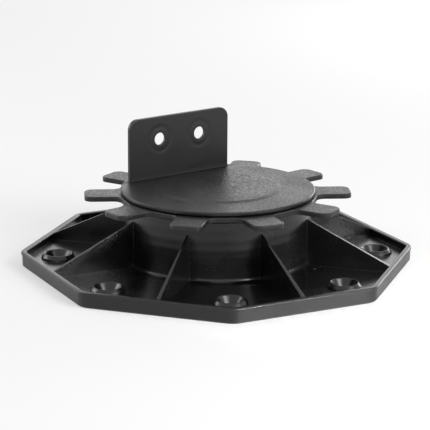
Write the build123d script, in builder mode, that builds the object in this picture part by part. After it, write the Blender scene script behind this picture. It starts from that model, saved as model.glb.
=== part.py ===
"""Adjustable decking pedestal with a swivelling joist bracket.

Four moulded pieces on one upright axis: an octagonal base with a threaded
hub, an adjusting screw with a ten-finger flange, a round head with an upright
bracket plate, and a split ring that keeps the head on the screw. All sizes are
in millimetres. The origin is the middle of the base's underside, +Z is up, and
the bracket plate stands across Y. Headings are degrees from +X, seen from above.
"""

from build123d import *
from math import radians, tan
import os

# Base tray
SIDES = 8
across_flats = 200.0
rim_height = 8.4
rim_width = 3.0
floor_thickness = 4.3
tray_draft = 1.5
lip_height = 1.5
lip_overhang = 0.4
outer_corner_radius = 9.5
inner_corner_radius = 4.0
foot_edge_bevel = 0.8
land_edge_bevel = 0.5
corner_heading = 13.4

# Screw holes in the tray's corners
hole_circle_radius = 87.3
hole_radius = 4.0
hole_depth = 2.4
collar_height = 2.8
collar_foot_radius = 9.3
collar_lip_radius = 7.9
collar_lip_width = 1.0
collar_lip_bevel = 0.35
collar_shoulder_radius = 9.0
collar_shoulder_height = 1.1

# Ribs between the hub and the rim
rib_foot_thickness = 2.3
rib_draft = 1.5
rib_height_at_hub = 29.7
rib_drop_at_rim = 0.5

# Small round marks that the ejector pins leave in the floor
pin_mark_circle_radius = 59.0
pin_mark_radius = 1.7
pin_mark_depth = 0.3
pin_mark_from_rib = 8.0

# Hub
hub_height = 37.4
hub_wall = 3.2
hub_draft = 0.6
hub_top_bevel = 0.8
hub_foot_radius = 2.4

# Thread shared by the hub and the screw
thread_crest_radius = 47.2
thread_depth = 1.8
thread_pitch = 5.5
thread_flank = 30.0
thread_radial_gap = 0.4
thread_flank_gap = 0.3
thread_bury = 0.5
hub_thread_turns = 3.0
hub_thread_from_top = 18.9

# Adjusting screw
flange_gap = 0.5
flange_thickness = 2.6
flange_radius = 54.2
flange_edge_bevel = 0.45
finger_count = 10
finger_heading = 4.2
finger_reach = 72.7
finger_width = 17.2
finger_tip_radius = 4.5
finger_root_radius = 5.0
skirt_length = 32.0
skirt_wall = 2.6
skirt_thread_margin = 2.4
web_bore_radius = 30.0

# Head
seat_gap = 0.3
disc_radius = 53.0
disc_thickness = 2.2
disc_edge_bevel = 0.5
pad_radius = 35.0
pad_height = 0.6
pad_slope = 3.2
plate_distance = 36.4
plate_thickness = 2.4
plate_width = 66.4
plate_height = 34.3
plate_corner_radius = 5.7
plate_edge_radius = 0.4
plate_foot_radius = 0.8
joist_hole_radius = 3.5
joist_hole_land = 1.4
joist_hole_sink_angle = 90.0
joist_hole_spacing = 26.6
joist_hole_height = 21.7
joist_dimple_inner_radius = 5.0
joist_dimple_outer_radius = 8.6
joist_dimple_depth = 0.15

# Spigot under the head, and the split ring in its groove
spigot_gap = 0.4
spigot_wall = 3.2
spigot_groove_depth = 1.5
spigot_lip = 1.5
ring_gap = 0.3
ring_thickness = 1.9
ring_overlap = 3.5
ring_split_width = 12.0

# How far from its level an edge or face may lie and still be picked by it
level_tolerance = 0.01

# Levels and radii that follow from the sizes above
pocket_apothem = across_flats / 2 - rim_width
wall_height = rim_height - lip_height
wall_top_apothem = across_flats / 2 - lip_overhang
wall_foot_apothem = wall_top_apothem - wall_height * tan(radians(tray_draft))
rib_heading = corner_heading + 180 / SIDES
pin_mark_heading = rib_heading - pin_mark_from_rib
lip_level = collar_height - collar_lip_bevel
cone_mouth_radius = collar_lip_radius - collar_lip_width
cone_depth = floor_thickness + lip_level - hole_depth
cone_angle = 2 * Vector(cone_depth, 0).get_angle(Vector(cone_depth, cone_mouth_radius - hole_radius))

hub_bore_radius = thread_crest_radius + thread_radial_gap
hub_radius = hub_bore_radius + hub_wall
hub_rise = hub_height - floor_thickness
hub_foot_run = hub_rise * tan(radians(hub_draft))

skirt_radius = thread_crest_radius - thread_depth
flange_bottom = hub_height + flange_gap
flange_top = flange_bottom + flange_thickness
skirt_bottom = flange_bottom - skirt_length
hub_thread_start = hub_height - hub_thread_from_top
skirt_thread_start = skirt_bottom + skirt_thread_margin
skirt_thread_turns = (skirt_length - 2 * skirt_thread_margin) / thread_pitch

disc_bottom = flange_top + seat_gap
disc_top = disc_bottom + disc_thickness
pad_top = disc_top + pad_height
hole_level = disc_top + joist_hole_height
joist_sink_run = (plate_thickness - joist_hole_land) * tan(radians(joist_hole_sink_angle / 2))
joist_sink_radius = joist_hole_radius + joist_sink_run
joist_dimple_middle_radius = (joist_dimple_inner_radius + joist_dimple_outer_radius) / 2
spigot_radius = web_bore_radius - spigot_gap
groove_radius = spigot_radius - spigot_groove_depth
groove_top = flange_bottom
ring_top = flange_bottom - ring_gap
ring_bottom = ring_top - ring_thickness
groove_bottom = ring_bottom - ring_gap
spigot_bottom = groove_bottom - spigot_lip
ring_inner_radius = groove_radius + ring_gap
ring_outer_radius = web_bore_radius + ring_overlap

# Half of a turn apart, the two ridges run midway between each other
flank_slope = tan(radians(thread_flank))
thread_engagement = thread_depth - thread_radial_gap
ridge_crest = thread_pitch / 2 - thread_flank_gap - flank_slope * thread_engagement
ridge_lag = skirt_thread_start - (hub_thread_start + thread_pitch / 2)
skirt_thread_heading = 360 * ridge_lag / thread_pitch


def thread_ridge(root_radius, depth, start_height, start_heading, turns):
    """One right-hand ridge of the thread, its root sunk a little into the wall.

    A positive depth stands outwards, a negative one inwards.
    """
    turned = Plane.XY.offset(start_height).rotated((0, 0, start_heading))
    outward = 1 if depth > 0 else -1
    sunk_width = ridge_crest + 2 * flank_slope * (abs(depth) + thread_bury)
    with BuildPart() as ridge:
        with BuildLine(turned) as path:
            Helix(pitch=thread_pitch, height=turns * thread_pitch, radius=root_radius)
        start = path.line @ 0
        with BuildSketch(Plane(origin=start, x_dir=turned.x_dir, z_dir=-turned.y_dir)):
            with BuildLine():
                Polyline(
                    (-outward * thread_bury, -sunk_width / 2),
                    (depth, -ridge_crest / 2),
                    (depth, ridge_crest / 2),
                    (-outward * thread_bury, sunk_width / 2),
                    close=True,
                )
            make_face()
        sweep(path=path.line, is_frenet=True)
    return ridge.part


# One of the flared collars with a rounded lip, standing on the floor at the middle of its hole
with BuildPart() as collar:
    with BuildSketch(Plane.XZ):
        with BuildLine():
            Polyline(
                (0, -floor_thickness / 2),
                (collar_foot_radius, -floor_thickness / 2),
                (collar_foot_radius, 0),
                (collar_shoulder_radius, collar_shoulder_height),
                (collar_lip_radius, lip_level),
                (collar_lip_radius - collar_lip_bevel, collar_height),
                (cone_mouth_radius + collar_lip_bevel, collar_height),
                (cone_mouth_radius, lip_level),
                (0, lip_level),
                close=True,
            )
        make_face()
    revolve(axis=Axis.Z)

# One rib, tapering upwards, along +X
rib_inner = hub_radius - hub_wall / 2
rib_outer = pocket_apothem + rim_width / 2
rib_length = rib_outer - rib_inner
rib_foot = floor_thickness / 2
with BuildPart() as rib:
    with BuildSketch(Plane.XY.offset(rib_foot)):
        with Locations(((rib_inner + rib_outer) / 2, 0)):
            Rectangle(rib_length, rib_foot_thickness)
    extrude(amount=rib_height_at_hub - rib_foot, taper=rib_draft)
    with BuildSketch(Plane.XZ):
        with BuildLine():
            Polyline(
                (rib_inner, rib_foot),
                (rib_outer, rib_foot),
                (rib_outer, rim_height - rib_drop_at_rim),
                (pocket_apothem, rim_height - rib_drop_at_rim),
                (hub_radius, rib_height_at_hub),
                (rib_inner, rib_height_at_hub),
                close=True,
            )
        make_face()
    extrude(amount=rib_foot_thickness, both=True, mode=Mode.INTERSECT)

hub_ridge = thread_ridge(hub_bore_radius, -thread_depth, hub_thread_start, 0, hub_thread_turns)

with BuildPart() as base:
    # Octagonal tray with a leaning wall and a small lip round its top
    with BuildSketch(Plane.XY):
        RegularPolygon(wall_foot_apothem, SIDES, major_radius=False, rotation=corner_heading)
        fillet(vertices(), radius=outer_corner_radius)
    extrude(amount=wall_height, taper=-tray_draft)
    chamfer(edges().group_by(Axis.Z)[0], length=foot_edge_bevel)
    with BuildSketch(Plane.XY.offset(wall_height)):
        RegularPolygon(across_flats / 2, SIDES, major_radius=False, rotation=corner_heading)
        fillet(vertices(), radius=outer_corner_radius)
    extrude(amount=lip_height)
    with BuildSketch(Plane.XY.offset(rim_height)):
        RegularPolygon(pocket_apothem, SIDES, major_radius=False, rotation=corner_heading)
        fillet(vertices(), radius=inner_corner_radius)
    extrude(amount=floor_thickness - rim_height, taper=tray_draft, mode=Mode.SUBTRACT)
    chamfer(edges().group_by(Axis.Z)[-1], length=land_edge_bevel)

    # Round hub, leaning in a little, with a rounded top and a soft foot
    with BuildSketch(Plane.XZ):
        with BuildLine():
            Polyline(
                (0, floor_thickness / 2),
                (hub_radius + hub_foot_run, floor_thickness / 2),
                (hub_radius + hub_foot_run, floor_thickness),
                (hub_radius, hub_height),
                (0, hub_height),
                close=True,
            )
        make_face()
    revolve(axis=Axis.Z)
    hub_foot = edges().filter_by(GeomType.CIRCLE).filter_by_position(
        Axis.Z, floor_thickness - level_tolerance, floor_thickness + level_tolerance
    )
    fillet(hub_foot.sort_by(SortBy.LENGTH)[-1], radius=hub_foot_radius)
    chamfer(edges().group_by(Axis.Z)[-1], length=hub_top_bevel)

    with PolarLocations(0, SIDES, start_angle=rib_heading):
        add(rib.part)
    with Locations((0, 0, floor_thickness)):
        with PolarLocations(hole_circle_radius, SIDES, start_angle=corner_heading):
            add(collar.part)
    with Locations((0, 0, floor_thickness + lip_level)):
        with PolarLocations(hole_circle_radius, SIDES, start_angle=corner_heading):
            CounterSinkHole(hole_radius, cone_mouth_radius, counter_sink_angle=cone_angle)
    with Locations((0, 0, floor_thickness)):
        with PolarLocations(pin_mark_circle_radius, SIDES, start_angle=pin_mark_heading):
            Cylinder(
                pin_mark_radius,
                pin_mark_depth,
                align=(Align.CENTER, Align.CENTER, Align.MAX),
                mode=Mode.SUBTRACT,
            )

    # Threaded well, closed at the bottom
    with BuildSketch(Plane.XY.offset(floor_thickness)):
        Circle(hub_bore_radius)
    extrude(amount=hub_height, mode=Mode.SUBTRACT)
    add(hub_ridge)

skirt_ridge = thread_ridge(
    skirt_radius, thread_depth, skirt_thread_start, skirt_thread_heading, skirt_thread_turns
)

with BuildPart() as adjusting_screw:
    # Flange with ten rounded fingers for turning by hand
    with BuildSketch(Plane.XY.offset(flange_bottom)):
        Circle(flange_radius)
        with PolarLocations(finger_reach / 2, finger_count, start_angle=finger_heading):
            Rectangle(finger_reach, finger_width)
        fillet(vertices().group_by(SortBy.DISTANCE, tol_digits=3)[-1], radius=finger_tip_radius)
        fillet(vertices().group_by(SortBy.DISTANCE, tol_digits=3)[0], radius=finger_root_radius)
    extrude(amount=flange_thickness)
    chamfer(edges().group_by(Axis.Z)[-1], length=flange_edge_bevel)

    # Skirt under the flange, and the bore that takes the head's spigot
    with BuildSketch(Plane.XY.offset(skirt_bottom)):
        Circle(skirt_radius)
        Circle(skirt_radius - skirt_wall, mode=Mode.SUBTRACT)
    extrude(until=Until.NEXT)
    with BuildSketch(Plane.XY.offset(flange_bottom)):
        Circle(web_bore_radius)
    extrude(amount=flange_thickness, mode=Mode.SUBTRACT)
    add(skirt_ridge)

# Soft ring-shaped hollow round a screw hole, centred on the plate's front
with BuildPart() as joist_dimple:
    with BuildSketch(Plane.XZ):
        with BuildLine():
            Spline(
                (joist_dimple_inner_radius, 0),
                (joist_dimple_middle_radius, -joist_dimple_depth),
                (joist_dimple_outer_radius, 0),
                tangents=((1, 0), (1, 0)),
            )
            Line((joist_dimple_outer_radius, 0), (joist_dimple_inner_radius, 0))
        make_face()
    revolve(axis=Axis.Z)

# Upright plate along a chord of the disc, with two holes sunk from behind
front_plane = Plane.XZ.offset(-plate_distance)
back_plane = Plane(
    origin=(0, plate_distance + plate_thickness, 0), x_dir=(-1, 0, 0), z_dir=(0, 1, 0)
)
with BuildPart() as plate:
    with BuildSketch(front_plane):
        with Locations((0, disc_bottom + disc_thickness / 2)):
            Rectangle(
                plate_width,
                plate_height + disc_thickness / 2,
                align=(Align.CENTER, Align.MIN),
            )
        fillet(vertices().group_by(Axis.Y)[-1], radius=plate_corner_radius)
    extrude(amount=-plate_thickness)
    plate_rims = faces().filter_by(Axis.Y).edges()
    fillet(plate_rims - plate_rims.group_by(Axis.Z)[0], radius=plate_edge_radius)
    with Locations(back_plane):
        with Locations((0, hole_level)):
            with GridLocations(joist_hole_spacing, 0, 2, 1):
                CounterSinkHole(
                    joist_hole_radius, joist_sink_radius, counter_sink_angle=joist_hole_sink_angle
                )
    with Locations(front_plane):
        with Locations((0, hole_level)):
            with GridLocations(joist_hole_spacing, 0, 2, 1):
                add(joist_dimple.part, mode=Mode.SUBTRACT)

with BuildPart() as joist_head:
    # Disc, raised pad and grooved spigot, turned as one profile
    with BuildSketch(Plane.XZ):
        with BuildLine():
            Spline(
                (pad_radius - pad_slope, pad_top), (pad_radius, disc_top), tangents=((1, 0), (1, 0))
            )
            Polyline(
                (pad_radius, disc_top),
                (disc_radius, disc_top),
                (disc_radius, disc_bottom),
                (spigot_radius, disc_bottom),
                (spigot_radius, groove_top),
                (groove_radius, groove_top),
                (groove_radius, groove_bottom),
                (spigot_radius, groove_bottom),
                (spigot_radius, spigot_bottom),
                (spigot_radius - spigot_wall, spigot_bottom),
                (spigot_radius - spigot_wall, disc_bottom),
                (0, disc_bottom),
                (0, pad_top),
                (pad_radius - pad_slope, pad_top),
            )
        make_face()
    revolve(axis=Axis.Z)
    disc_rims = edges().filter_by(GeomType.CIRCLE).group_by(SortBy.LENGTH)[-1]
    chamfer(disc_rims, length=disc_edge_bevel)
    add(plate.part)
    plate_feet = edges().filter_by(GeomType.LINE).filter_by(Axis.X).filter_by_position(
        Axis.Z, disc_top - level_tolerance, disc_top + level_tolerance
    )
    fillet(plate_feet, radius=plate_foot_radius)

with BuildPart() as retaining_ring:
    with BuildSketch(Plane.XY.offset(ring_bottom)):
        Circle(ring_outer_radius)
        Circle(ring_inner_radius, mode=Mode.SUBTRACT)
        Rectangle(
            ring_split_width,
            ring_outer_radius,
            align=(Align.CENTER, Align.MAX),
            mode=Mode.SUBTRACT,
        )
    extrude(amount=ring_thickness)

os.makedirs("parts", exist_ok=True)
base.part.label = "base"
export_step(base.part, "parts/base.step")
adjusting_screw.part.label = "adjusting_screw"
export_step(adjusting_screw.part, "parts/adjusting_screw.step")
joist_head.part.label = "joist_head"
export_step(joist_head.part, "parts/joist_head.step")
retaining_ring.part.label = "retaining_ring"
export_step(retaining_ring.part, "parts/retaining_ring.step")
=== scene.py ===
"""Dresses a black moulded deck support and sets up its floor, light and camera."""

import logging
from abc import ABC, abstractmethod
from dataclasses import dataclass, field
from enum import Enum
from math import cos, pi, radians, sin
from typing import Any, Dict, List, Optional, Tuple, Union

import bpy
from mathutils import Matrix, Vector

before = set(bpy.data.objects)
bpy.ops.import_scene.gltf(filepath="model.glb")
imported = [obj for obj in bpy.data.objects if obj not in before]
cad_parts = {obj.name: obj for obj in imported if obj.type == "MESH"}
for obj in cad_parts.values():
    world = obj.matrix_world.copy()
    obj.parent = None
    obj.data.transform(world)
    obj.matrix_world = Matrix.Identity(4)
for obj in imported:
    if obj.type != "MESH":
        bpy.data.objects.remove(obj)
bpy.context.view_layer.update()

LOG = logging.getLogger("deck_support")
MILLIMETRE = 0.001
FULL_TURN = 2.0 * pi
# How much each finer layer of a random pattern weighs against the one before it
LAYER_WEIGHT = 0.6
# The strength at which plain white renders as white and no brighter
WHITE_STRENGTH = 1.0
SOFT_STEP = {"interpolation_type": "SMOOTHSTEP"}
Pair = Tuple[float, float]


class Ray(Enum):
    """The kinds of ray that the white surroundings are drawn for."""

    CAMERA = "Is Camera Ray"
    GLOSSY = "Is Glossy Ray"
    TRANSMISSION = "Is Transmission Ray"


class Layers(Enum):
    """How many finer layers a random pattern has."""

    PLAIN = 1.0
    SOFT = 2.0
    FINE = 3.0


class MouldSteel(Enum):
    """How the steel of the mould was finished where a face was cast.

    Each value holds the grain's size and depth in millimetres, the roughness that it leaves and
    how far that strays from pit to pit.
    """

    SPARK_ERODED = (1.3, 0.240, 0.41, 0.09)
    FINE_ERODED = (0.5, 0.014, 0.37, 0.03)
    STONED = (0.8, 0.012, 0.38, 0.02)
    POLISHED = (0.8, 0.004, 0.25, 0.01)

    @property
    def grain_mm(self) -> float:
        """Size of one pit, drawn coarser than the real 0.1 to 0.2 mm so that it shows."""
        return self.value[0]

    @property
    def depth_mm(self) -> float:
        """Depth of one pit, which is drawn deeper as its size is drawn coarser."""
        return self.value[1]

    @property
    def roughness(self) -> float:
        """Middle value of the gloss."""
        return self.value[2]

    @property
    def speckle(self) -> float:
        """How far the roughness strays from pit to pit."""
        return self.value[3]


def linear(hex_colour: str) -> Tuple[float, float, float, float]:
    """Turns an sRGB hex colour into linear red, green, blue and alpha.

    Args:
        hex_colour: Six hex digits with a leading number sign.

    Returns:
        The four linear values that a node socket takes.
    """
    values = []
    for start in (1, 3, 5):
        level = int(hex_colour[start:start + 2], 16) / 255.0
        # The curve of the sRGB standard, with its own numbers
        values.append(level / 12.92 if level <= 0.04045 else ((level + 0.055) / 1.055) ** 2.4)
    return (values[0], values[1], values[2], 1.0)


def add_node(
    tree: bpy.types.NodeTree,
    kind: str,
    settings: Optional[Dict[str, Any]] = None,
    inputs: Optional[Dict[Union[str, int], Any]] = None,
) -> bpy.types.Node:
    """Adds one node, sets it up and links what feeds it.

    Args:
        tree: The node tree that takes the node.
        kind: The node's type name.
        settings: Properties of the node itself.
        inputs: Sockets by name or index. A socket as the value is linked, a node is linked by
            its first output, and anything else is set.

    Returns:
        The new node.
    """
    node = tree.nodes.new(kind)
    for name, value in (settings or {}).items():
        setattr(node, name, value)
    for key, value in (inputs or {}).items():
        source = value.outputs[0] if isinstance(value, bpy.types.Node) else value
        if isinstance(source, bpy.types.NodeSocket):
            tree.links.new(source, node.inputs[key])
        else:
            node.inputs[key].default_value = source
    return node


def new_material(name: str) -> Tuple[bpy.types.Material, bpy.types.NodeTree]:
    """Makes an empty node material.

    Args:
        name: What the material is called.

    Returns:
        The material and its cleared node tree.
    """
    material = bpy.data.materials.new(name)
    material.use_nodes = True
    material.node_tree.nodes.clear()
    return material, material.node_tree


class SurfaceSpace:
    """A point's place on a moulding, from its own coordinates, in metres.

    Attributes:
        tree: The material's node tree.
        place: The place as a vector.
        x: How far to the right it lies.
        y: How far back it lies.
        z: How high it lies.
    """

    def __init__(self, tree: bpy.types.NodeTree) -> None:
        """Adds the nodes that every pattern starts from.

        Args:
            tree: The material's node tree.
        """
        self.tree = tree
        self.place = add_node(tree, "ShaderNodeTexCoord").outputs["Object"]
        parts = add_node(tree, "ShaderNodeSeparateXYZ", inputs={"Vector": self.place})
        self.x, self.y, self.z = parts.outputs[0], parts.outputs[1], parts.outputs[2]

    def blots(self, size_mm: float, layers: Layers, edge: Pair, levels: Pair) -> bpy.types.Node:
        """Draws soft random blots.

        Args:
            size_mm: Size of one blot in millimetres.
            layers: How many finer layers the blots have.
            edge: Where in the random pattern a blot begins and where it is full.
            levels: The value outside a blot and the value inside.

        Returns:
            The value at each point.
        """
        pattern = add_node(self.tree, "ShaderNodeTexNoise", inputs={
            "Vector": self.place, "Scale": 1.0 / (size_mm * MILLIMETRE),
            "Detail": layers.value, "Roughness": LAYER_WEIGHT})
        return add_node(self.tree, "ShaderNodeMapRange", SOFT_STEP, {
            "Value": pattern, "From Min": edge[0], "From Max": edge[1],
            "To Min": levels[0], "To Max": levels[1]})

    def band(
        self, length: bpy.types.NodeSocket, rise_mm: Pair, fall_mm: Pair
    ) -> bpy.types.Node:
        """Marks where a length lies between a soft rise and a soft fall.

        Args:
            length: The length in metres.
            rise_mm: Where the band begins and where it is whole, in millimetres.
            fall_mm: Where the band begins to fade and where it ends, in millimetres.

        Returns:
            1 inside the band and 0 outside.
        """
        risen = add_node(self.tree, "ShaderNodeMapRange", SOFT_STEP, {
            "Value": length, "From Min": rise_mm[0] * MILLIMETRE,
            "From Max": rise_mm[1] * MILLIMETRE})
        left = add_node(self.tree, "ShaderNodeMapRange", SOFT_STEP, {
            "Value": length, "From Min": fall_mm[0] * MILLIMETRE,
            "From Max": fall_mm[1] * MILLIMETRE, "To Min": 1.0, "To Max": 0.0})
        return add_node(self.tree, "ShaderNodeMath", {"operation": "MULTIPLY"}, {
            0: risen, 1: left})


@dataclass(frozen=True)
class MouldedPlastic:
    """Black plastic as it leaves the mould.

    A satin, slightly waxy black: near black where it faces the dark, and pale grey where it
    mirrors the room at a low angle.

    Attributes:
        name: What the material is called.
        steel: Finish of the mould over most of the piece.
        second_steel: Finish of the mould in the piece's own zone.
        body_hex: Colour of the plastic itself, coloured through with carbon black.
        scuffed_and_highlight_hex: Colour along an outward edge, lighter for scuffing by hands
            and boxes and as a painted edge highlight.
        index: Refractive index, typical for polypropylene unless another is given.
        gloss_spread: How far the roughness strays in large soft patches.
        patch_mm: Size of those patches.
        patch_edge: Where in the random pattern a patch begins and where it is full.
        speckle_edge: The same for the speckle from pit to pit.
        edge_mm: Radius that the moulding's sharp edges have really.
        edge_samples: How many samples round an edge off.
        edge_bend: Cosine of the bend at which the scuffed, painted-highlight edge begins and at
            which it is full.
        edge_outward: Pointiness at which an edge begins to count as outward and at which it
            does in full.
        gap_mm: Size of the gaps in the scuffed, painted-highlight edge line.
        gap_edge: Where in the random pattern a gap ends and where the edge line is full.
        edge_polish: How much smoother a scuffed edge is.
        corner_roughness: Roughness in a corner of the mould that no stone reaches.
    """

    name: str
    steel: MouldSteel
    second_steel: MouldSteel
    body_hex: str = "#0a0a0b"
    # Lighter grey of scuffed edges, which is also a painted edge highlight
    scuffed_and_highlight_hex: str = "#2c2c2e"
    index: float = 1.49
    gloss_spread: float = 0.04
    patch_mm: float = 24.0
    patch_edge: Pair = (0.3, 0.7)
    speckle_edge: Pair = (0.35, 0.65)
    edge_mm: float = 0.4
    edge_samples: int = 6
    edge_bend: Pair = (0.99, 0.80)
    edge_outward: Pair = (0.49, 0.52)
    gap_mm: float = 3.0
    gap_edge: Pair = (0.25, 0.6)
    edge_polish: float = 0.08
    corner_roughness: float = 0.85

    def grain(self, space: SurfaceSpace, steel: MouldSteel) -> bpy.types.Node:
        """Draws the pits that one kind of steel leaves.

        Args:
            space: The moulding's coordinates.
            steel: The kind of steel.

        Returns:
            Height in metres.
        """
        pits = add_node(space.tree, "ShaderNodeTexNoise", inputs={
            "Vector": space.place, "Scale": 1.0 / (steel.grain_mm * MILLIMETRE),
            "Detail": Layers.FINE.value, "Roughness": LAYER_WEIGHT})
        return add_node(space.tree, "ShaderNodeMath", {"operation": "MULTIPLY"}, {
            0: pits, 1: steel.depth_mm * MILLIMETRE})

    def scuff_and_highlight_edges(self, space: SurfaceSpace, rounded: bpy.types.Node) -> bpy.types.Node:
        """Finds the outward edges that are drawn lighter, as scuffing by hands and boxes and as
        a painted edge highlight, with gaps between.

        Args:
            space: The moulding's coordinates.
            rounded: The normal with its edges rounded.

        Returns:
            0 on a sound face and 1 on a scuffed edge with its painted highlight.
        """
        tree = space.tree
        face = add_node(tree, "ShaderNodeNewGeometry")
        bend = add_node(tree, "ShaderNodeVectorMath", {"operation": "DOT_PRODUCT"}, {
            0: rounded, 1: face.outputs["True Normal"]})
        edge = add_node(tree, "ShaderNodeMapRange", SOFT_STEP, {
            "Value": bend.outputs["Value"],
            "From Min": self.edge_bend[0], "From Max": self.edge_bend[1]})
        outward = add_node(tree, "ShaderNodeMapRange", SOFT_STEP, {
            "Value": face.outputs["Pointiness"],
            "From Min": self.edge_outward[0], "From Max": self.edge_outward[1]})
        open_edge = add_node(tree, "ShaderNodeMath", {"operation": "MULTIPLY"}, {
            0: edge, 1: outward})
        # Random gaps break the lighter edge line of scuffing and painted highlight
        edge_line_unbroken = space.blots(self.gap_mm, Layers.SOFT, self.gap_edge, (0.0, 1.0))
        return add_node(tree, "ShaderNodeMath", {"operation": "MULTIPLY"}, {
            0: open_edge, 1: edge_line_unbroken})

    def gloss(
        self, space: SurfaceSpace, zone: bpy.types.Node, scuff_and_highlight_mask: bpy.types.Node
    ) -> bpy.types.Node:
        """Works out the roughness: by steel, in soft patches, from pit to pit and along edges.

        Args:
            space: The moulding's coordinates.
            zone: 0 outside the piece's own zone and 1 inside.
            scuff_and_highlight_mask: 1 along the scuffed edges that also carry the painted
                highlight.

        Returns:
            The roughness.
        """
        tree = space.tree
        middle = add_node(tree, "ShaderNodeMix", {"data_type": "FLOAT"}, {
            0: zone, 2: self.steel.roughness, 3: self.second_steel.roughness})
        patches = space.blots(
            self.patch_mm, Layers.SOFT, self.patch_edge, (-self.gloss_spread, self.gloss_spread))
        pits = space.blots(
            self.steel.grain_mm, Layers.PLAIN, self.speckle_edge,
            (-self.steel.speckle, self.steel.speckle))
        outside = add_node(tree, "ShaderNodeMath", {"operation": "SUBTRACT"}, {0: 1.0, 1: zone})
        speckle = add_node(tree, "ShaderNodeMath", {"operation": "MULTIPLY"}, {
            0: outside, 1: pits})
        uneven = add_node(tree, "ShaderNodeMath", {"operation": "ADD"}, {0: patches, 1: speckle})
        sound = add_node(tree, "ShaderNodeMath", {"operation": "ADD"}, {0: middle, 1: uneven})
        polish = add_node(tree, "ShaderNodeMath", {"operation": "MULTIPLY"}, {
            0: scuff_and_highlight_mask, 1: self.edge_polish})
        return add_node(tree, "ShaderNodeMath", {"operation": "SUBTRACT"}, {0: sound, 1: polish})

    def build(self, piece: "Moulding") -> bpy.types.Material:
        """Builds the node material for one piece.

        Args:
            piece: The moulding, which says where its zone and its own marks are.

        Returns:
            The finished material.
        """
        material, tree = new_material(self.name)
        space = SurfaceSpace(tree)
        zone = piece.zone(space)
        pits = add_node(tree, "ShaderNodeMix", {"data_type": "FLOAT"}, {
            0: zone, 2: self.grain(space, self.steel), 3: self.grain(space, self.second_steel)})
        height = add_node(tree, "ShaderNodeMath", {"operation": "ADD"}, {
            0: pits, 1: piece.marks(space)})
        rounded = add_node(tree, "ShaderNodeBevel", {"samples": self.edge_samples}, {
            "Radius": self.edge_mm * MILLIMETRE})
        # The height is in metres already, so the relief takes it whole
        relief = add_node(tree, "ShaderNodeBump", inputs={
            "Strength": 1.0, "Distance": 1.0, "Height": height, "Normal": rounded})
        scuff_and_highlight_mask = self.scuff_and_highlight_edges(space, rounded)
        # Outward edges turn lighter grey: scuffing, and also a painted edge highlight
        colour = add_node(tree, "ShaderNodeMix", {"data_type": "RGBA"}, {
            0: scuff_and_highlight_mask, 6: linear(self.body_hex), 7: linear(self.scuffed_and_highlight_hex)})
        roughness = self.gloss(space, zone, scuff_and_highlight_mask)
        corner = piece.corner(space)
        if corner is not None:
            roughness = add_node(tree, "ShaderNodeMix", {"data_type": "FLOAT"}, {
                0: corner, 2: roughness, 3: self.corner_roughness})
        shader = add_node(tree, "ShaderNodeBsdfPrincipled", inputs={
            "Base Color": colour.outputs[2], "Roughness": roughness,
            "IOR": self.index, "Normal": relief})
        add_node(tree, "ShaderNodeOutputMaterial", inputs={"Surface": shader})
        return material


@dataclass
class Moulding(ABC):
    """One moulded piece of the support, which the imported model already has.

    Attributes:
        node: Name of the model's node.
        finish: The plastic it is moulded in.
        ripple_mm: Size of the shallow hollows that shrinking plastic leaves.
        ripple_edge: Where in the random pattern a hollow begins and where it ends.
        ripple_depth: Depth of those hollows in millimetres.
    """

    node: str
    finish: MouldedPlastic
    ripple_mm: float = 9.0
    ripple_edge: Pair = (0.2, 0.8)
    ripple_depth: float = 0.02

    @abstractmethod
    def zone(self, space: SurfaceSpace) -> bpy.types.Node:
        """Says where the mould was finished another way.

        Args:
            space: The moulding's coordinates.

        Returns:
            0 outside that zone and 1 inside.
        """

    def marks(self, space: SurfaceSpace) -> bpy.types.Node:
        """Draws the marks that aren't the steel's grain; a piece adds its own to these.

        Args:
            space: The moulding's coordinates.

        Returns:
            Height in metres.
        """
        return space.blots(
            self.ripple_mm, Layers.PLAIN, self.ripple_edge,
            (0.0, self.ripple_depth * MILLIMETRE))

    def corner(self, space: SurfaceSpace) -> Optional[bpy.types.Node]:
        """Says where the mould stayed rough, 1 there; most pieces have no such place."""
        return None

    def dress(self) -> None:
        """Puts the finish on the model's node."""
        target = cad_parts[self.node]
        material = self.finish.build(self)
        if not target.material_slots:
            target.data.materials.append(material)
        for slot in target.material_slots:
            slot.material = material
        LOG.info("%s dressed in %s", self.node, self.finish.name)


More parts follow.
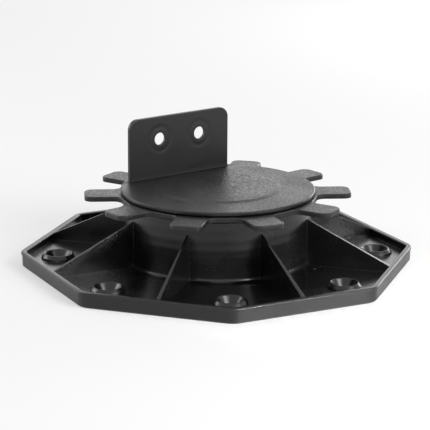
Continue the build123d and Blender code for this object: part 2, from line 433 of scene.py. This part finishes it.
@dataclass
class RibbedFoot(Moulding):
    """The octagonal tray with its ribs, collars and hub.

    Attributes:
        sides: How many sides the tray has.
        corner_heading: Direction of one corner in degrees.
        across_flats: Width of the tray in millimetres.
        skin: How deep under its outer wall the coarser zone reaches.
        skin_fade: Over what depth that zone fades in.
        hub_radius: Outer radius of the hub.
        ring_reach: How far outside the hub's radius its rings begin to fade and where they end.
        thread_pitch: Pitch of the thread inside the hub.
        thread_bottom: Height of its lowest turn.
        thread_top: Height of its highest turn.
        thread_fade: How far below and above those heights the rings fade.
        sink_depth: How far the hub's wall has sunk between the turns.
    """

    sides: int = 8
    corner_heading: float = 13.4
    across_flats: float = 200.0
    skin: float = 2.0
    skin_fade: float = 0.5
    hub_radius: float = 50.8
    ring_reach: Pair = (0.8, 1.6)
    thread_pitch: float = 5.5
    thread_bottom: float = 18.5
    thread_top: float = 35.0
    thread_fade: float = 1.5
    sink_depth: float = 0.018

    def around(self, space: SurfaceSpace) -> Tuple[bpy.types.Node, bpy.types.Node]:
        """Works out where a point lies round the upright axis.

        Args:
            space: The moulding's coordinates.

        Returns:
            Its distance from the axis in metres and its direction in radians.
        """
        tree = space.tree
        across = add_node(tree, "ShaderNodeMath", {"operation": "MULTIPLY"}, {
            0: space.x, 1: space.x})
        back = add_node(tree, "ShaderNodeMath", {"operation": "MULTIPLY"}, {
            0: space.y, 1: space.y})
        squares = add_node(tree, "ShaderNodeMath", {"operation": "ADD"}, {0: across, 1: back})
        radius = add_node(tree, "ShaderNodeMath", {"operation": "SQRT"}, {0: squares})
        heading = add_node(tree, "ShaderNodeMath", {"operation": "ARCTAN2"}, {
            0: space.y, 1: space.x})
        return radius, heading

    def zone(self, space: SurfaceSpace) -> bpy.types.Node:
        """The tray's outer wall, which another half of the mould casts.

        Args:
            space: The moulding's coordinates.

        Returns:
            0 inside the tray and 1 on its outer wall.
        """
        tree = space.tree
        radius, heading = self.around(space)
        sector = FULL_TURN / self.sides
        turned = add_node(tree, "ShaderNodeMath", {"operation": "SUBTRACT"}, {
            0: heading, 1: radians(self.corner_heading)})
        folded = add_node(tree, "ShaderNodeMath", {"operation": "WRAP"}, {
            0: turned, 1: sector, 2: 0.0})
        from_middle = add_node(tree, "ShaderNodeMath", {"operation": "SUBTRACT"}, {
            0: folded, 1: sector / 2.0})
        lean = add_node(tree, "ShaderNodeMath", {"operation": "COSINE"}, {0: from_middle})
        reach = add_node(tree, "ShaderNodeMath", {"operation": "MULTIPLY"}, {
            0: radius, 1: lean})
        inner = self.across_flats / 2.0 - self.skin
        return add_node(tree, "ShaderNodeMapRange", SOFT_STEP, {
            "Value": reach, "From Min": inner * MILLIMETRE,
            "From Max": (inner + self.skin_fade) * MILLIMETRE})

    def marks(self, space: SurfaceSpace) -> bpy.types.Node:
        """Adds soft rings that the cooling plastic has left on the hub over the thread inside.

        Args:
            space: The moulding's coordinates.

        Returns:
            Height in metres.
        """
        tree = space.tree
        radius, heading = self.around(space)
        turns = add_node(tree, "ShaderNodeMath", {"operation": "DIVIDE"}, {
            0: space.z, 1: self.thread_pitch * MILLIMETRE})
        behind = add_node(tree, "ShaderNodeMath", {"operation": "DIVIDE"}, {
            0: heading, 1: FULL_TURN})
        wound = add_node(tree, "ShaderNodeMath", {"operation": "SUBTRACT"}, {
            0: turns, 1: behind})
        angle = add_node(tree, "ShaderNodeMath", {"operation": "MULTIPLY"}, {
            0: wound, 1: FULL_TURN})
        wave = add_node(tree, "ShaderNodeMath", {"operation": "SINE"}, {0: angle})
        beside_thread = space.band(
            space.z,
            (self.thread_bottom - self.thread_fade, self.thread_bottom + self.thread_fade),
            (self.thread_top - self.thread_fade, self.thread_top + self.thread_fade))
        near = add_node(tree, "ShaderNodeMapRange", SOFT_STEP, {
            "Value": radius,
            "From Min": (self.hub_radius + self.ring_reach[0]) * MILLIMETRE,
            "From Max": (self.hub_radius + self.ring_reach[1]) * MILLIMETRE,
            "To Min": 1.0, "To Max": 0.0})
        share = add_node(tree, "ShaderNodeMath", {"operation": "MULTIPLY"}, {
            0: beside_thread, 1: near})
        kept = add_node(tree, "ShaderNodeMath", {"operation": "MULTIPLY"}, {0: wave, 1: share})
        rings = add_node(tree, "ShaderNodeMath", {"operation": "MULTIPLY"}, {
            0: kept, 1: self.sink_depth * MILLIMETRE})
        return add_node(tree, "ShaderNodeMath", {"operation": "ADD"}, {
            0: rings, 1: super().marks(space)})


@dataclass
class AdjustingScrew(Moulding):
    """The star that a hand turns, with its skirt and thread.

    Attributes:
        flange_underside: Height of the star's underside in millimetres.
        fade: How far below the underside the skirt's finish begins to fade and where it ends.
        ring_width: Width of one ring that the turned steel leaves, drawn coarser than the real
            0.2 mm so that it shows.
        ring_depth: Depth of that ring.
    """

    flange_underside: float = 37.9
    fade: Pair = (0.4, 0.1)
    ring_width: float = 0.6
    ring_depth: float = 0.01

    def zone(self, space: SurfaceSpace) -> bpy.types.Node:
        """The skirt and its thread, which a turned core casts.

        Args:
            space: The moulding's coordinates.

        Returns:
            0 on the star and 1 on the skirt.
        """
        return add_node(space.tree, "ShaderNodeMapRange", SOFT_STEP, {
            "Value": space.z,
            "From Min": (self.flange_underside - self.fade[0]) * MILLIMETRE,
            "From Max": (self.flange_underside - self.fade[1]) * MILLIMETRE,
            "To Min": 1.0, "To Max": 0.0})

    def marks(self, space: SurfaceSpace) -> bpy.types.Node:
        """Adds fine rings of the turned core on the skirt.

        Args:
            space: The moulding's coordinates.

        Returns:
            Height in metres.
        """
        tree = space.tree
        angle = add_node(tree, "ShaderNodeMath", {"operation": "MULTIPLY"}, {
            0: space.z, 1: FULL_TURN / (self.ring_width * MILLIMETRE)})
        wave = add_node(tree, "ShaderNodeMath", {"operation": "SINE"}, {0: angle})
        rings = add_node(tree, "ShaderNodeMath", {"operation": "MULTIPLY"}, {
            0: wave, 1: self.ring_depth * MILLIMETRE})
        kept = add_node(tree, "ShaderNodeMath", {"operation": "MULTIPLY"}, {
            0: rings, 1: self.zone(space)})
        return add_node(tree, "ShaderNodeMath", {"operation": "ADD"}, {
            0: kept, 1: super().marks(space)})


@dataclass
class JoistHead(Moulding):
    """The round disc with its pad, spigot and upright plate.

    Attributes:
        pad_top: Height of the pad in millimetres.
        fade: How far above the pad the plate's finish begins and where it is whole.
        streak_width: Width of one upright streak on the plate, drawn coarser than the real 0.1
            to 0.2 mm so that it shows.
        streak_length: How many times longer than wide a streak is.
        streak_depth: Depth of a streak.
        plate_front: How far behind the middle the plate's front face stands.
        foot_height: How far up the plate, and forward of it, its rough foot reaches.
        foot_fade: Over what length that foot fades.
        foot_depth: How far behind the plate's front face it stays whole.
        foot_rise: How far below the pad's top it begins.
    """

    pad_top: float = 43.6
    fade: Pair = (0.3, 1.0)
    streak_width: float = 1.2
    streak_length: float = 18.0
    streak_depth: float = 0.006
    plate_front: float = 36.4
    foot_height: float = 1.2
    foot_fade: float = 0.3
    foot_depth: float = 0.5
    foot_rise: float = 1.0

    def zone(self, space: SurfaceSpace) -> bpy.types.Node:
        """The upright plate, whose steel was stoned up and down so that it draws freely.

        Args:
            space: The moulding's coordinates.

        Returns:
            0 on the disc and 1 on the plate.
        """
        return add_node(space.tree, "ShaderNodeMapRange", SOFT_STEP, {
            "Value": space.z,
            "From Min": (self.pad_top + self.fade[0]) * MILLIMETRE,
            "From Max": (self.pad_top + self.fade[1]) * MILLIMETRE})

    def marks(self, space: SurfaceSpace) -> bpy.types.Node:
        """Adds upright streaks that the stoned steel has left on the plate.

        Args:
            space: The moulding's coordinates.

        Returns:
            Height in metres.
        """
        tree = space.tree
        stretched = add_node(tree, "ShaderNodeMapping", inputs={
            "Vector": space.place, "Scale": (1.0, 1.0, 1.0 / self.streak_length)})
        streaks = add_node(tree, "ShaderNodeTexNoise", inputs={
            "Vector": stretched, "Scale": 1.0 / (self.streak_width * MILLIMETRE),
            "Detail": Layers.PLAIN.value, "Roughness": LAYER_WEIGHT})
        height = add_node(tree, "ShaderNodeMath", {"operation": "MULTIPLY"}, {
            0: streaks, 1: self.streak_depth * MILLIMETRE})
        kept = add_node(tree, "ShaderNodeMath", {"operation": "MULTIPLY"}, {
            0: height, 1: self.zone(space)})
        return add_node(tree, "ShaderNodeMath", {"operation": "ADD"}, {
            0: kept, 1: super().marks(space)})

    def corner(self, space: SurfaceSpace) -> bpy.types.Node:
        """The foot of the plate's front, where the stone stops short.

        Args:
            space: The moulding's coordinates.

        Returns:
            0 elsewhere and 1 along the foot.
        """
        top = self.pad_top + self.foot_height
        front = self.plate_front - self.foot_height
        back = self.plate_front + self.foot_depth
        low = space.band(
            space.z, (self.pad_top - self.foot_rise, self.pad_top), (top - self.foot_fade, top))
        close = space.band(
            space.y, (front, front + self.foot_fade), (back, back + self.foot_fade))
        return add_node(space.tree, "ShaderNodeMath", {"operation": "MULTIPLY"}, {
            0: low, 1: close})


@dataclass
class RetainingRing(Moulding):
    """The split ring in the groove of the spigot.

    Attributes:
        top: Height of its upper face in millimetres.
        fade: How far below that face its finish begins and where it is whole.
    """

    top: float = 37.6
    fade: Pair = (0.3, 0.1)

    def zone(self, space: SurfaceSpace) -> bpy.types.Node:
        """The upper face, which slides on the screw and is smoother.

        Args:
            space: The moulding's coordinates.

        Returns:
            0 below and 1 on the upper face.
        """
        return add_node(space.tree, "ShaderNodeMapRange", SOFT_STEP, {
            "Value": space.z,
            "From Min": (self.top - self.fade[0]) * MILLIMETRE,
            "From Max": (self.top - self.fade[1]) * MILLIMETRE})


@dataclass(frozen=True)
class SoftBox:
    """One soft box of the studio.

    Attributes:
        name: What the lamp is called.
        heading: Its direction from the part in degrees.
        distance: How far off it stands, in metres.
        height: Height of its middle in metres.
        size: Its width and height in metres.
        power: Its power in watts.
        aim: The point it faces, in metres.
        spread: How wide the light leaves it in degrees; a grid in front makes it narrower.
    """

    name: str
    heading: float
    distance: float
    height: float
    size: Pair
    power: float
    aim: Tuple[float, float, float] = (0.0, 0.0, 0.02)
    spread: float = 180.0

    def hang(self) -> bpy.types.Object:
        """Hangs the lamp so that it faces the part.

        Returns:
            The lamp's object.
        """
        data = bpy.data.lights.new(self.name, "AREA")
        data.shape = "RECTANGLE"
        data.size, data.size_y = self.size
        data.energy = self.power
        data.spread = radians(self.spread)
        lamp = bpy.data.objects.new(self.name, data)
        bpy.context.scene.collection.objects.link(lamp)
        turn = radians(self.heading)
        lamp.location = (self.distance * cos(turn), self.distance * sin(turn), self.height)
        towards = Vector(self.aim) - lamp.location
        lamp.rotation_euler = towards.to_track_quat("-Z", "Y").to_euler()
        return lamp


def soft_boxes() -> List[SoftBox]:
    """Lists the lamps of the studio.

    Returns:
        The key box, the gridded strip for the front right wall, and the boxes round the part.
    """
    return [
        SoftBox("key_box", heading=-74.0, distance=0.75, height=0.45,
                size=(0.45, 0.45), power=5.4),
        SoftBox("front_right_strip", heading=-78.0, distance=0.40, height=0.03,
                size=(0.18, 0.03), power=0.040, aim=(0.024, -0.107, 0.0), spread=10.0),
        SoftBox("right_box", heading=18.0, distance=0.90, height=0.16,
                size=(0.5, 0.34), power=2.4),
        SoftBox("left_box", heading=130.0, distance=0.85, height=0.32,
                size=(0.5, 0.4), power=2.5),
        SoftBox("back_box", heading=44.0, distance=1.06, height=0.34,
                size=(1.2, 0.4), power=1.38),
    ]


@dataclass
class Studio:
    """The white sweep, the lamps and the camera.

    Attributes:
        floor_size: Side of the square floor in metres.
        floor_cells: How many cells the floor has along a side.
        paper_hex: Colour of the floor's paper.
        white_hex: Plain white, for what the camera sees round the part.
        floor_white: Share of plain white in the floor as the camera sees it.
        room_strength: Strength of the surroundings for light that isn't seen directly.
        boxes: The soft boxes.
        camera_place: Where the camera stands, in metres.
        camera_aim: The point it looks at.
        camera_roll: How far it leans, in degrees.
        camera_lens: Its focal length in millimetres.
        camera_sensor: Width of its sensor in millimetres.
        camera_range: The nearest and the farthest that it sees, in metres.
    """

    floor_size: float = 6.0
    floor_cells: int = 4
    paper_hex: str = "#f7f7f7"
    white_hex: str = "#ffffff"
    floor_white: float = 0.45
    room_strength: float = 0.5
    boxes: List[SoftBox] = field(default_factory=soft_boxes)
    camera_place: Tuple[float, float, float] = (-0.629778, -0.864592, 0.323265)
    camera_aim: Tuple[float, float, float] = (-0.0012203, 0.0008889, 0.0272388)
    camera_roll: float = 0.349
    camera_lens: float = 169.84
    camera_sensor: float = 36.0
    camera_range: Pair = (0.05, 20.0)

    def white_for(self, tree: bpy.types.NodeTree) -> bpy.types.NodeSocket:
        """Adds up the kinds of ray that see the surroundings as plain white.

        Args:
            tree: The node tree that takes the nodes.

        Returns:
            A socket that is 1 for those rays and 0 for the others.
        """
        path = add_node(tree, "ShaderNodeLightPath")
        seen = path.outputs[Ray.CAMERA.value]
        for ray in (Ray.GLOSSY, Ray.TRANSMISSION):
            seen = add_node(tree, "ShaderNodeMath", {"operation": "MAXIMUM"}, {
                0: seen, 1: path.outputs[ray.value]}).outputs[0]
        return seen

    def light_room(self) -> None:
        """Lights the scene softly from all round."""
        world = bpy.data.worlds.new("studio_room")
        bpy.context.scene.world = world
        world.use_nodes = True
        tree = world.node_tree
        tree.nodes.clear()
        strength = add_node(tree, "ShaderNodeMapRange", inputs={
            "Value": self.white_for(tree), "To Min": self.room_strength,
            "To Max": WHITE_STRENGTH})
        background = add_node(tree, "ShaderNodeBackground", inputs={
            "Color": linear(self.white_hex), "Strength": strength})
        add_node(tree, "ShaderNodeOutputWorld", inputs={"Surface": background})

    def lay_floor(self) -> bpy.types.Object:
        """Lays the pale floor, which keeps a soft shadow.

        Returns:
            The floor's object.
        """
        bpy.ops.object.select_all(action="DESELECT")
        bpy.ops.mesh.primitive_grid_add(
            x_subdivisions=self.floor_cells, y_subdivisions=self.floor_cells,
            size=self.floor_size)
        floor = bpy.context.active_object
        floor.name = "studio_floor"
        # Matt paper, which the camera sees a share whiter than the lamps make it
        material, tree = new_material("white_sweep_paper")
        paper = add_node(tree, "ShaderNodeBsdfDiffuse", inputs={"Color": linear(self.paper_hex)})
        glow = add_node(tree, "ShaderNodeEmission", inputs={
            "Color": linear(self.white_hex), "Strength": WHITE_STRENGTH})
        share = add_node(tree, "ShaderNodeMath", {"operation": "MULTIPLY"}, {
            0: self.white_for(tree), 1: self.floor_white})
        mixed = add_node(tree, "ShaderNodeMixShader", inputs={0: share, 1: paper, 2: glow})
        add_node(tree, "ShaderNodeOutputMaterial", inputs={"Surface": mixed})
        floor.data.materials.append(material)
        return floor

    def set_camera(self) -> bpy.types.Object:
        """Stands the camera where the photograph was taken from.

        Returns:
            The camera's object.
        """
        place = Vector(self.camera_place)
        roll = radians(self.camera_roll)
        ahead = (Vector(self.camera_aim) - place).normalized()
        right = ahead.cross(Vector((0.0, 0.0, 1.0))).normalized()
        up = right.cross(ahead)
        tilted_right = right * cos(roll) + up * sin(roll)
        tilted_up = up * cos(roll) - right * sin(roll)
        data = bpy.data.cameras.new("photograph_camera")
        data.sensor_width = self.camera_sensor
        data.lens = self.camera_lens
        data.clip_start, data.clip_end = self.camera_range
        camera = bpy.data.objects.new("photograph_camera", data)
        bpy.context.scene.collection.objects.link(camera)
        turn = Matrix((tilted_right, tilted_up, -ahead)).transposed().to_4x4()
        camera.matrix_world = Matrix.Translation(place) @ turn
        bpy.context.scene.camera = camera
        return camera

    def build(self) -> None:
        """Sets up the colour view, room, floor, lamps and camera."""
        bpy.context.scene.view_settings.view_transform = "Standard"
        self.light_room()
        self.lay_floor()
        for box in self.boxes:
            box.hang()
        self.set_camera()
        LOG.info("studio set with %d soft boxes", len(self.boxes))


def build_parts() -> List[Moulding]:
    """Lists the pieces with their finishes.

    Returns:
        The pieces, foot first.
    """
    # Polypropylene cast by polished steel: dark pockets and hub that softly mirror the ribs and
    # collars, and an evener, duller grey on the finely eroded outer wall
    foot = MouldedPlastic(
        "black_polypropylene_polished", MouldSteel.POLISHED, MouldSteel.FINE_ERODED)
    # Polypropylene cast by spark eroded steel: flat faces that sparkle faintly and turn pale at
    # a low angle, over a smooth skirt with fine turned rings
    star = MouldedPlastic(
        "black_polypropylene_grained", MouldSteel.SPARK_ERODED, MouldSteel.STONED)
    # The same grain on disc and pad, under a plate that is plainer and silkier
    head = MouldedPlastic(
        "black_polypropylene_grained_head", MouldSteel.SPARK_ERODED, MouldSteel.STONED)
    # Nylon cast by finely eroded steel: a plain dull black that mirrors a little more than
    # polypropylene does, because it bends light more
    ring = MouldedPlastic("black_nylon", MouldSteel.FINE_ERODED, MouldSteel.STONED, index=1.53)
    return [
        RibbedFoot("base", foot),
        AdjustingScrew("adjusting_screw", star),
        JoistHead("joist_head", head),
        RetainingRing("retaining_ring", ring),
    ]


def main() -> None:
    """Builds and dresses everything in order."""
    logging.basicConfig(level=logging.INFO, format="%(message)s")
    for part in build_parts():
        part.dress()
    Studio().build()


if __name__ == "__main__":
    main()
